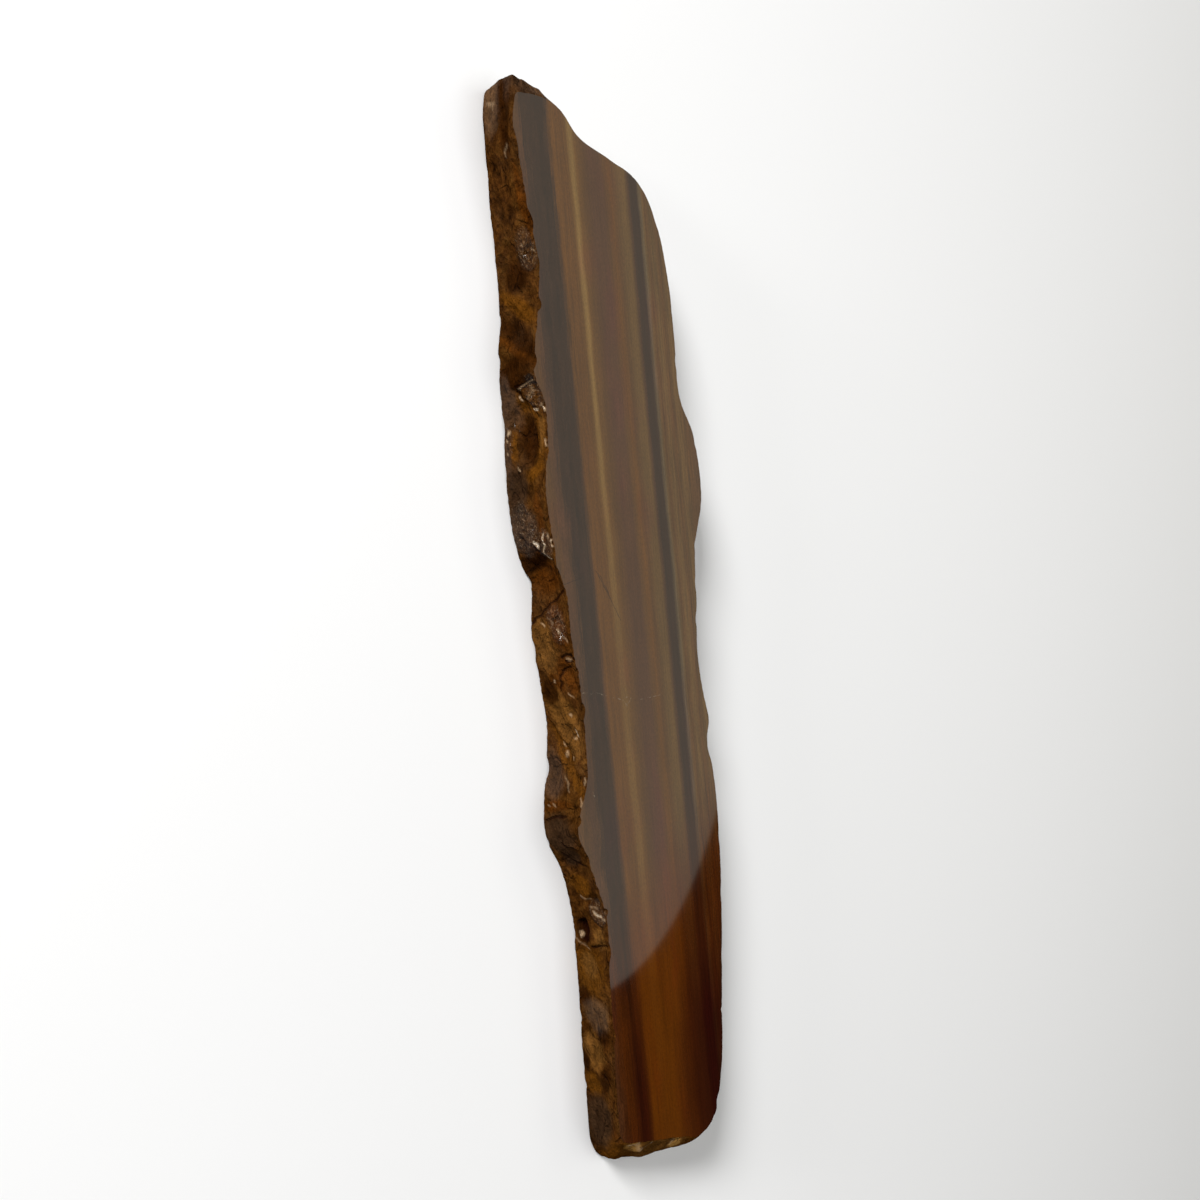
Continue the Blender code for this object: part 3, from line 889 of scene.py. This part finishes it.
def layers_group():
    """The stone's parallel layers: their colour, the silky gold ones and their fine streaks."""
    inputs = [("Vector", "vector"), ("Wander", "float", 0.4), ("Streaks", "float", 0.3)]
    outputs = [("Colour", "colour"), ("Silk", "float"), ("Streak", "float")]
    group, nodes, given, result = new_group("stone layers", "ShaderNodeTree", inputs, outputs)
    place = given["Vector"]
    x, y, z = nodes.parts(place)
    across = nodes.times_plus(y, LAYERS_TURN, x)
    across = nodes.times_plus(nodes.minus(z, THICKNESS), LAYERS_LEAN, across)
    slow = nodes.noise(nodes.stretched(place, (0.03, 0.018, 0.03)), 1.0, 2.0)
    quick = nodes.noise(nodes.stretched(place, (0.30, 0.08, 0.2)), 1.0, 3.0, 0.6)
    sway = nodes.times_plus(nodes.minus(quick, 0.5), 0.8, nodes.minus(slow, 0.5))
    across = nodes.times_plus(sway, nodes.times(given["Wander"], 2.0), across)
    frays = nodes.noise(nodes.stretched(place, (1.5, 0.10, 0.3)), 1.0, 3.0, 0.6)
    frayed = nodes.times(nodes.minus(frays, 0.5), nodes.spread(x, -15.0, -20.0, 0.6, 5.0))
    across = nodes.plus(across, frayed)
    stops = [((at + LAYERS_REACH) / (2 * LAYERS_REACH), colour) for at, colour in LAYERS]
    colour = nodes.ramp(nodes.spread(across, -LAYERS_REACH, LAYERS_REACH, smooth=False), stops)

    past_border = nodes.plus(across, nodes.spread(y, 15.0, 75.0, 22.4, 25.4))
    widening = nodes.times(nodes.spread(past_border, -0.9, 0.9), nodes.spread(across, -19.5, -20.5))
    colour = nodes.mix(nodes.times(widening, 0.85), colour, DARK)

    silk = nodes.math("ABSOLUTE", nodes.plus(across, -SILK_MIDDLE))
    line = nodes.spread(silk, 1.5, 0.4)
    fading = nodes.spread(y, 75.0, -10.0, 0.0, 0.72)
    colour = nodes.mix(nodes.times(line, fading), colour, HONEY)

    lines = nodes.join(across, nodes.times(y, 0.03), nodes.times(z, 0.05))
    broad = nodes.noise(lines, 0.6, 3.0, 0.55)
    fine = nodes.noise(lines, 2.4, 3.0, 0.6)
    streak = nodes.plus(nodes.times(broad, 0.45), nodes.times(fine, 0.55))
    outer = nodes.spread(nodes.math("ABSOLUTE", x), 9.0, 21.0, 0.7, 2.0)
    strength = nodes.times(nodes.minus(streak, 0.5), nodes.times(given["Streaks"], outer))
    colour = nodes.scaled(colour, scale=nodes.times_plus(strength, 4.0, 1.0))

    past_gold = nodes.minus(across, nodes.spread(y, -125.0, -85.0, 0.0, 6.5))
    golden = nodes.times(nodes.spread(across, -15.0, -12.4), nodes.spread(past_gold, 3.5, -5.5))
    deep = nodes.mix(golden, DEEP_BROWN, DEEP_GOLD)
    deep = nodes.mix(nodes.spread(across, -22.0, -29.0), deep, MAUVE)
    beside_gold = nodes.spread(nodes.math("ABSOLUTE", nodes.plus(across, 17.0)), 4.0, 0.8)
    ember = nodes.times(beside_gold, nodes.spread(y, -85.0, -128.0, 0.15, 0.8))
    deep = nodes.mix(ember, deep, DEEP_RED)
    # Darker and redder towards the lower end and its right side: partly the stone's own colour, partly
    # painted shade.
    darkened = nodes.times(nodes.spread(across, 0.0, 11.0), nodes.spread(y, -70.0, -115.0, 0.3, 1.0))
    deep = nodes.mix(darkened, deep, DEEP_RED)
    deep = nodes.scaled(deep, scale=nodes.times_plus(strength, 5.0, 1.0))
    low = nodes.spread(nodes.times_plus(x, -0.6, y), -50.0, -92.0, 0.0, 1.0)
    reddened = nodes.mix(low, colour, nodes.stretched(colour, (0.92, 0.56, 0.30)))
    deepest = nodes.times(low, nodes.spread(y, -85.0, -115.0, 0.66, 0.85))
    shown = nodes.mix(deepest, reddened, deep)
    nodes.put(result["Colour"], shown)
    nodes.put(result["Silk"], nodes.spread(silk, 9.0, 0.0))
    nodes.put(result["Streak"], streak)
    return group


def hairline_group():
    """A thin line between two points of a flat picture of the surface."""
    inputs = [("Vector", "vector"), ("Start", "vector"), ("End", "vector"), ("Width", "float", 0.2)]
    group, nodes, given, result = new_group("hairline", "ShaderNodeTree", inputs, [("Mask", "float")])
    from_start = nodes.vector("SUBTRACT", given["Vector"], given["Start"])
    whole = nodes.vector("SUBTRACT", given["End"], given["Start"])
    along = nodes.math("DIVIDE", nodes.vector("DOT_PRODUCT", from_start, whole, out=1),
                       nodes.vector("DOT_PRODUCT", whole, whole, out=1), clamp=True)
    nearest = nodes.scaled(whole, scale=along)
    gap = nodes.vector("DISTANCE", from_start, nearest, out=1)
    ratio = nodes.math("DIVIDE", gap, given["Width"])
    nodes.put(result["Mask"], nodes.spread(ratio, 1.0, 0.35, 0.0, 1.0))
    return group


def grain_group():
    """The crumbly, splintery grain of a break: a height for bumps and where it sparkles."""
    inputs = [("Vector", "vector"), ("Size", "float", 1.0), ("Splinters", "float", 0.5)]
    outputs = [("Height", "float"), ("Seams", "float"), ("Streaks", "float"), ("Creases", "float")]
    group, nodes, given, result = new_group("crumbly grain", "ShaderNodeTree", inputs, outputs)
    place = nodes.scaled(given["Vector"], scale=nodes.math("DIVIDE", 1.0, given["Size"]))
    bent = nodes.vector("ADD", place, nodes.scaled(nodes.noise(place, 0.8, 2.0, out=1), scale=0.7))
    cells = nodes.cells(bent)
    slivers = nodes.stretched(bent, (2.0, 0.55, 2.4))
    splinter = nodes.cells(slivers)
    soft = nodes.noise(place, 1.6, 4.0, 0.65)
    height = nodes.times_plus(splinter, given["Splinters"], nodes.times(cells, 0.6))
    height = nodes.times_plus(soft, 0.7, height)
    nodes.put(result["Height"], height)
    nodes.put(result["Streaks"], nodes.noise(nodes.stretched(bent, (1.7, 0.42, 1.5)), 1.0, 2.0, 0.55))
    folds = nodes.stretched(bent, (0.9, 0.42, 0.8))
    lines = nodes.cells(folds, "DISTANCE_TO_EDGE")
    nodes.put(result["Creases"], nodes.spread(lines, 0.10, 0.02))
    long_flakes = nodes.stretched(bent, (0.42, 0.26, 0.46))
    borders = nodes.cells(long_flakes, "DISTANCE_TO_EDGE")
    broken_up = nodes.spread(nodes.noise(place, 0.35, 3.0, 0.6), 0.42, 0.62)
    nodes.put(result["Seams"], nodes.times(nodes.spread(borders, 0.07, 0.0), broken_up))
    return group


def dust_group():
    """Fine dust, smudges and rub marks, as a mask from 0 to 1."""
    inputs = [("Vector", "vector"), ("Amount", "float", 0.5), ("Size", "float", 20.0)]
    group, nodes, given, result = new_group("dust and rub", "ShaderNodeTree", inputs, [("Mask", "float")])
    place = nodes.scaled(given["Vector"], scale=nodes.math("DIVIDE", 1.0, given["Size"]))
    cloud = nodes.noise(place, 1.0, 5.0, 0.6)
    specks = nodes.noise(given["Vector"], 2.4, 3.0, 0.7)
    mask = nodes.times(nodes.spread(cloud, 0.4, 0.7), nodes.spread(specks, 0.35, 0.7))
    nodes.put(result["Mask"], nodes.times(mask, given["Amount"]))
    return group


# ---------------------------------------------------------------- finishes
def new_finish(name):
    material = bpy.data.materials.new(name)
    material.use_nodes = True
    nodes = Nodes(material.node_tree)
    shader = material.node_tree.nodes["Principled BSDF"]
    place = nodes.scaled(nodes.add("ShaderNodeTexCoord").outputs["Object"], scale=1000.0)
    return material, nodes, shader.inputs, place


def drawn_lines(nodes, hairline, flat, lines):
    """All the hairlines of a surface in one mask."""
    mask = 0.0
    for x0, y0, x1, y1, width in lines:
        inputs = {"Vector": flat, "Start": (x0, y0, 0.0), "End": (x1, y1, 0.0), "Width": width}
        mask = nodes.math("MAXIMUM", nodes.group(hairline, inputs)["Mask"], mask)
    return mask


# The broken edge: its body's shades, and the colour and strength of each kind of patch
BROKEN_BODY = [
    (0.34, (0.025, 0.0080, 0.0011)),
    (0.46, (0.041, 0.0138, 0.0020)),
    (0.58, (0.056, 0.0205, 0.0032)),
    (0.74, (0.073, 0.0295, 0.0056)),
]
BROKEN_SHADES = {
    "rust": ((0.062, 0.0175, 0.0018), 0.75),
    "gold": ((0.082, 0.0285, 0.0027), 0.88),
    "pale": ((0.112, 0.0470, 0.0095), 0.85),
    # Dark patches: dark stone, and on the left edge partly painted shade in hollows.
    "dark": ((0.016, 0.0046, 0.0007), 0.90),
    # Grey patches: partly the stone's grey, partly painted sheen.
    "grey": ((0.047, 0.0258, 0.0148), 0.65),
    "slate": ((0.029, 0.0145, 0.0070), 0.85),
    # Painted highlight: a bright gold for the glinting chips on the lower end's rim.
    "painted_gold_glint": ((0.340, 0.1750, 0.0450), 0.90),
}

HEALED_CRACKS = [
    (-24.0, -9.2, -17.5, -10.7, 0.30),
    (-17.5, -10.7, -9.3, -13.9, 0.24),
    (-9.3, -13.9, -6.8, -13.6, 0.24),
    (-2.1, -15.3, 7.0, -15.3, 0.16),
    (-9.0, -13.9, -7.4, -15.8, 0.28),
    (-7.4, -15.8, -5.6, -14.2, 0.26),
    (-23.5, -36.6, -21.9, -39.4, 0.35),
]
DARK_CRACKS = [
    (-27.4, 20.2, -20.0, 21.4, 0.18),
    (-15.0, 22.5, -9.9, 13.3, 0.22),
    (-13.6, 21.1, -7.3, 8.0, 0.18),
]


def polished_finish(groups):
    material, nodes, shader, place = new_finish("polished_face")
    x, y = nodes.parts(place)[:2]
    flat = nodes.join(x, y, 0.0)
    wobble = nodes.vector("SUBTRACT", nodes.noise(flat, 0.5, 3.0, out=1), (0.5, 0.5, 0.5))
    lined = nodes.stretched(nodes.scaled(wobble, scale=1.2), (1.0, 1.0, 0.0))
    lined = nodes.vector("ADD", flat, lined)
    layers = nodes.group(groups["layers"], {"Vector": place, "Wander": 0.6, "Streaks": 0.3})
    dust = nodes.group(groups["dust"], {"Vector": place, "Amount": 1.0, "Size": 26.0})["Mask"]
    healed = drawn_lines(nodes, groups["hairline"], lined, HEALED_CRACKS)
    cracked = drawn_lines(nodes, groups["hairline"], lined, DARK_CRACKS)
    mottled = nodes.noise(nodes.stretched(place, (0.16, 0.05, 0.1)), 1.0, 4.0, 0.6)
    tone = nodes.spread(mottled, 0.3, 0.7, 0.9, 1.1, smooth=False)
    grains = nodes.noise(nodes.stretched(place, (2.2, 1.1, 1.0)), 1.0, 3.0, 0.7)
    grained = nodes.spread(grains, 0.3, 0.7, 0.80, 1.20, smooth=False)
    colour = nodes.scaled(layers["Colour"], scale=nodes.times(tone, grained))
    blush = nodes.spread(nodes.noise(nodes.stretched(place, (0.11, 0.035, 0.1)), 1.0, 3.0, 0.5), 0.5, 0.72)
    colour = nodes.mix(nodes.times(blush, 0.6), colour, nodes.stretched(colour, (1.08, 0.82, 1.25)))
    broken_up = nodes.spread(nodes.noise(place, 0.9, 3.0), 0.44, 0.66)
    colour = nodes.mix(nodes.times(nodes.times(healed, broken_up), 0.42), colour, (0.26, 0.20, 0.14))
    colour = nodes.mix(nodes.times(cracked, 0.5), colour, INK)
    specks = nodes.spread(nodes.noise(place, 1.1, 2.0, 0.8), 0.70, 0.76)
    colour = nodes.mix(nodes.times(specks, 0.35), colour, INK)
    nodes.put(shader["Base Color"], colour)
    nodes.put(shader["Roughness"], nodes.times_plus(layers["Streak"], 0.12, 0.36))
    nodes.put(shader["Metallic"], nodes.times(layers["Silk"], 0.18))
    nodes.put(shader["Coat Weight"], nodes.minus(1.0, nodes.times(dust, 0.1)))
    shader["Specular IOR Level"].default_value = 0.0
    shader["Coat Roughness"].default_value = 0.035
    shader["Coat IOR"].default_value = 1.54
    fibres = nodes.noise(nodes.stretched(place, (0.35, 5.0, 0.4)), 1.0, 2.0, 0.6)
    height = nodes.plus(nodes.times(fibres, 0.5), nodes.times(layers["Streak"], 0.5))
    bump = nodes.add("ShaderNodeBump", {"Strength": 0.10, "Distance": 0.00012, "Height": height})
    nodes.put(shader["Normal"], bump.outputs[0])
    return material


def broken_finish(groups):
    material, nodes, shader, place = new_finish("broken_edge")
    layers = nodes.group(groups["layers"], {"Vector": place, "Wander": 2.6, "Streaks": 0.2})
    stipple = nodes.noise(place, 1.7, 4.0, 0.65)
    mottle = nodes.noise(place, 0.45, 4.0, 0.62)
    broad = nodes.noise(place, 0.13, 3.0, 0.55)
    fibres = nodes.noise(nodes.stretched(place, (1.6, 0.25, 1.3)), 1.0, 3.0, 0.6)
    ragged = nodes.times(nodes.minus(stipple, 0.5), 0.4)
    ragged = nodes.times_plus(nodes.minus(mottle, 0.5), 0.7, ragged)

    def patch(name, low=0.14, high=0.82):
        return nodes.spread(nodes.plus(nodes.attribute(name), ragged), low, high)

    body = nodes.times_plus(nodes.minus(broad, 0.5), 0.6, mottle)
    body = nodes.times_plus(nodes.minus(stipple, 0.5), 0.5, body)
    colour = nodes.ramp(body, BROKEN_BODY)
    colour = nodes.mix(0.15, colour, layers["Colour"])
    uneven = nodes.spread(stipple, 0.3, 0.7, 0.78, 1.22, smooth=False)
    for name, (shade, strength) in BROKEN_SHADES.items():
        shaded = nodes.stretched(nodes.join(uneven, uneven, uneven), shade)
        colour = nodes.mix(nodes.times(patch(name), strength), colour, shaded)

    fine = nodes.group(groups["grain"], {"Vector": place, "Size": 0.75, "Splinters": 0.9})
    coarse = nodes.group(groups["grain"], {"Vector": place, "Size": 2.4, "Splinters": 0.5})
    pits = nodes.times_plus(fine["Height"], 0.5, nodes.times(coarse["Height"], 0.6))
    # The colour varies along the fibres, and is darker in the flakes' bowls and the grain's pits and
    # lighter on their ridges: painted shade and painted light of the relief.
    for amount, low, high, dark, bright in (
        (fibres, 0.3, 0.7, 0.84, 1.16),
        (nodes.attribute("ridge"), -0.34, 0.30, 0.52, 1.10),
        (pits, 0.62, 1.12, 0.62, 1.25),
    ):
        colour = nodes.scaled(colour, scale=nodes.spread(amount, low, high, dark, bright, smooth=False))
    # Dark seams between the flakes: partly dark cracks, partly painted shade in their crevices.
    colour = nodes.mix(nodes.times(coarse["Seams"], 0.32), colour, INK)

    cracks = nodes.attribute("crack")
    colour = nodes.mix(nodes.times(cracks, 0.9), colour, INK)
    dust = nodes.group(groups["dust"], {"Vector": place, "Amount": 0.07, "Size": 9.0})["Mask"]
    colour = nodes.mix(dust, colour, (0.17, 0.11, 0.06))

    # Painted glints: the listed bright lips, and small sparkles on the crumbly patches, get a pale colour
    # and turn metallic, so they are partly painted highlight and partly real reflection.
    crumbly = patch("crumbly", 0.2, 0.6)
    painted_glints = nodes.times(nodes.attribute("lip"), nodes.spread(stipple, 0.34, 0.56, 0.45, 1.0))
    small = nodes.math("MAXIMUM", nodes.times(nodes.spread(fine["Streaks"], 0.62, 0.70), 0.5),
                       nodes.times(fine["Creases"], nodes.spread(stipple, 0.48, 0.60)))
    small = nodes.times(small, nodes.times(crumbly, 0.18))
    glassy_and_painted_glint = nodes.math("MAXIMUM", painted_glints, small)
    # The painted glints' colour, paler where they are stronger
    bright = nodes.mix(nodes.spread(glassy_and_painted_glint, 0.3, 0.9), (0.62, 0.42, 0.24), (0.84, 0.72, 0.57))
    colour = nodes.mix(glassy_and_painted_glint, colour, bright)
    nodes.put(shader["Base Color"], colour)
    nodes.put(shader["Metallic"], glassy_and_painted_glint)
    dull = nodes.times_plus(stipple, 0.3, 0.30)
    nodes.put(shader["Roughness"], nodes.times_plus(glassy_and_painted_glint, -0.24, dull))
    sheen = nodes.math("MAXIMUM", nodes.times(patch("grey"), 0.07), nodes.times(crumbly, 0.14))
    nodes.put(shader["Coat Weight"], sheen)
    shader["Coat Roughness"].default_value = 0.08
    shader["Specular IOR Level"].default_value = 0.0
    height = nodes.times(coarse["Height"], 1.6)
    height = nodes.times_plus(fine["Height"], nodes.times_plus(crumbly, 0.8, 0.4), height)
    height = nodes.minus(height, nodes.times(nodes.math("MAXIMUM", cracks, coarse["Seams"]), 0.9))
    bump = nodes.add("ShaderNodeBump", {"Strength": 1.0, "Distance": 0.0006, "Height": height})
    nodes.put(shader["Normal"], bump.outputs[0])
    return material


def sawn_finish(groups):
    material, nodes, shader, place = new_finish("sawn_back")
    layers = nodes.group(groups["layers"], {"Vector": place, "Wander": 0.6, "Streaks": 0.25})
    dust = nodes.group(groups["dust"], {"Vector": place, "Amount": 0.8, "Size": 30.0})["Mask"]
    centre = nodes.vector("DISTANCE", place, (-420.0, 30.0, 0.0), out=1)
    waves = nodes.times_plus(nodes.noise(place, 0.03, 2.0), 9.0, nodes.times(centre, 2.1))
    marks = nodes.math("SINE", waves)
    colour = nodes.scaled(layers["Colour"], scale=1.15)
    colour = nodes.mix(nodes.times_plus(dust, 0.5, 0.18), colour, (0.21, 0.155, 0.115))
    colour = nodes.scaled(colour, scale=nodes.times_plus(marks, 0.05, 1.0))
    nodes.put(shader["Base Color"], colour)
    nodes.put(shader["Roughness"], nodes.times_plus(dust, 0.2, 0.55))
    shader["Specular IOR Level"].default_value = 0.4
    grit = nodes.noise(place, 3.0, 3.0, 0.7)
    height = nodes.times_plus(grit, 0.6, nodes.times(marks, 0.35))
    bump = nodes.add("ShaderNodeBump", {"Strength": 0.5, "Distance": 0.0002, "Height": height})
    nodes.put(shader["Normal"], bump.outputs[0])
    return material


# ---------------------------------------------------------------- pieces
SHARP_ANGLE = math.radians(26)


def make_slab(materials):
    slab = bpy.data.objects.new("slab_dressed", slab_mesh())
    bpy.context.scene.collection.objects.link(slab)
    values = {
        "Swell": 0.25,
        "Swell Size": 6.0,
        "Flake Depth": 0.75,
        "Flake Size": 3.4,
        "Crumb Depth": 0.75,
        "Crumb Size": 1.25,
        "Seed": 3.0,
        "Polished": materials["polished"],
        "Broken": materials["broken"],
        "Sawn": materials["sawn"],
    }
    mesh = apply_tree(slab, break_grain_tree(), values)
    mesh.shade_smooth()
    mesh.set_sharp_from_angle(angle=SHARP_ANGLE)
    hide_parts("slab")
    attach(slab, "root")


# ---------------------------------------------------------------- studio
TARGET = Vector((-14.38, 14.46, 16.0)) * MM
SIDE_ANGLE = math.radians(45)
END_ANGLE = math.radians(6)
ROLL = math.radians(5)
DISTANCE = 0.35
LENS = 39.0
SENSOR = 36.0
UP = Vector((0, 1, 0))

# Square panels that light the slab, aimed at the origin: (name, place, size, power).
# Places and sizes are in metres.
PANELS = [
    ("key_panel", (-1.20, 1.32, 0.84), 0.52, 50.0),
    ("glint_panel", (-0.90, 0.42, 0.16), 0.16, 3.0),
    ("top_panel", (-0.1, -0.05, 1.3), 1.2, 8.0),
]
WORLD_STRENGTH = 0.02
FLOOR_REACH = 3.0
FLOOR_LEVEL = -0.0002

# The reflection on the polished face: its middle and half sizes there, and its panel
SHEEN_MIDDLE = (-25.0, 60.0)
SHEEN_HALF_SIZE = (79.0, 151.5)
SHEEN_HEIGHT = 1.0
SHEEN_BRIGHTNESS = 0.78
SHEEN_COLOUR = (1.0, 0.97, 0.83)


def look_matrix(place, towards, up):
    """A camera's or a light's matrix, looking at a point with this direction up."""
    back = (place - towards).normalized()
    right = up.cross(back).normalized()
    matrix = Matrix((right, back.cross(right), back)).transposed().to_4x4()
    matrix.translation = place
    return matrix


def make_camera():
    data = bpy.data.cameras.new("camera")
    data.lens = LENS
    data.sensor_width = SENSOR
    data.clip_start = 0.01
    camera = bpy.data.objects.new("camera", data)
    bpy.context.scene.collection.objects.link(camera)
    bpy.context.scene.camera = camera
    back = Vector((-math.sin(SIDE_ANGLE) * math.cos(END_ANGLE), math.sin(END_ANGLE),
                   math.cos(SIDE_ANGLE) * math.cos(END_ANGLE)))
    level = look_matrix(TARGET + DISTANCE * back, TARGET, UP)
    camera.matrix_world = level @ Matrix.Rotation(-ROLL, 4, "Z")
    return camera


def add_panel(name, matrix, size, power, colour=(1, 1, 1)):
    light = bpy.data.lights.new(name, "AREA")
    light.shape = "RECTANGLE"
    light.size, light.size_y = size
    light.energy = power
    light.color = colour
    panel = bpy.data.objects.new(name, light)
    panel.matrix_world = matrix
    panel.visible_camera = False
    bpy.context.scene.collection.objects.link(panel)
    return panel


def make_sheen_panel(camera):
    """A soft round panel that the polished face mirrors, all but its lower right part."""
    eye = camera.matrix_world.translation.copy()
    eye.z = 2 * THICKNESS * MM - eye.z
    middle = Vector((SHEEN_MIDDLE[0], SHEEN_MIDDLE[1], THICKNESS)) * MM
    scale = (SHEEN_HEIGHT - eye.z) / (middle.z - eye.z)
    matrix = Matrix.Translation(eye + (middle - eye) * scale)
    size = [2 * MM * half * scale for half in SHEEN_HALF_SIZE]
    area = math.pi * size[0] * size[1] / 4
    panel = add_panel("sheen_panel", matrix, size, SHEEN_BRIGHTNESS * math.pi * area, SHEEN_COLOUR)
    panel.data.shape = "ELLIPSE"


def make_studio():
    scene = bpy.context.scene
    scene.view_settings.view_transform = "Standard"
    camera = make_camera()
    make_sheen_panel(camera)
    for name, place, size, power in PANELS:
        matrix = look_matrix(Vector(place), Vector((0, 0, 0)), UP)
        add_panel(name, matrix, (size, size), power)
    world = bpy.data.worlds.new("studio")
    world.use_nodes = True
    scene.world = world
    background = world.node_tree.nodes["Background"]
    background.inputs["Color"].default_value = (1, 1, 1, 1)
    background.inputs["Strength"].default_value = WORLD_STRENGTH

    mesh = bpy.data.meshes.new("floor")
    sides = ((-1, -1), (1, -1), (1, 1), (-1, 1))
    corners = [(x * FLOOR_REACH, y * FLOOR_REACH, FLOOR_LEVEL) for x, y in sides]
    mesh.from_pydata(corners, [], [(0, 1, 2, 3)])
    floor = bpy.data.objects.new("floor", mesh)
    scene.collection.objects.link(floor)
    paper = bpy.data.materials.new("pale_floor")
    paper.use_nodes = True
    shader = paper.node_tree.nodes["Principled BSDF"]
    shader.inputs["Base Color"].default_value = (0.9, 0.9, 0.9, 1)
    shader.inputs["Roughness"].default_value = 0.9
    mesh.materials.append(paper)


def main():
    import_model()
    groups = {
        "layers": layers_group(),
        "hairline": hairline_group(),
        "grain": grain_group(),
        "dust": dust_group(),
    }
    materials = {
        "polished": polished_finish(groups),
        "broken": broken_finish(groups),
        "sawn": sawn_finish(groups),
    }
    make_slab(materials)
    make_studio()


main()
